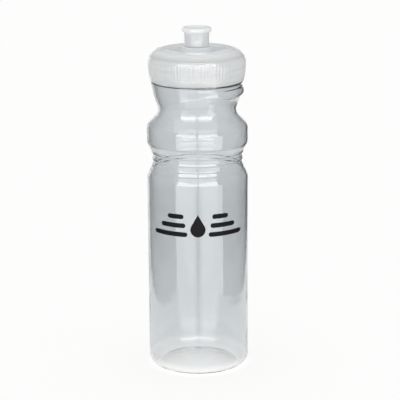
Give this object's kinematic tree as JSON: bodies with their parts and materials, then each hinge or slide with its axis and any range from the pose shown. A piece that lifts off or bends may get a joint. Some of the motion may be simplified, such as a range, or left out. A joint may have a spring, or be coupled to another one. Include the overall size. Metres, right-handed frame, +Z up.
{
  "type": "bicycle water bottle",
  "caption": "Clear squeeze bottle for a bicycle cage, with a ribbed grip groove, a fluted screw cap and a push-pull spout.",
  "frame": {"origin": "centre of the standing ring, on the surface that the bottle stands on", "axes": "+Z up along the bottle's axis, -Y towards the printed front, +X to the right seen from the front"},
  "size_m": [0.073, 0.073, 0.2499],
  "materials": {
    "clear_plastic": "clear blown PET, polished",
    "black_ink": "screen-print ink, satin",
    "soft_seal": "soft foamed plastic, matt",
    "milky_plastic": "natural translucent low-density polyethylene, satin",
    "white_plastic": "natural translucent low-density polyethylene, satin"
  },
  "bodies": {
    "bottle": {"bottle_body": "clear_plastic", "printed_mark": "black_ink"},
    "seal": {"sealing_ring": "soft_seal"},
    "cap": {"screw_cap": "milky_plastic"},
    "spout": {"push_pull_spout": "white_plastic"}
  },
  "joints": [
    {"name": "cap_rise", "type": "slide", "parent": "bottle", "child": "seal", "axis": [0, 0, 1], "range_m": [0, 0.0091]},
    {"name": "cap_turn", "type": "hinge", "parent": "seal", "child": "cap", "pos_m": [0, 0, 0.22], "axis": [0, 0, 1], "range_deg": [0, 720]},
    {"name": "spout_pull", "type": "slide", "parent": "cap", "child": "spout", "axis": [0, 0, 1], "range_m": [0, 0.005]}
  ],
  "couplings": [
    {"joint": "cap_rise", "follows": "cap_turn", "m_per_rad": 0.0007162}
  ]
}
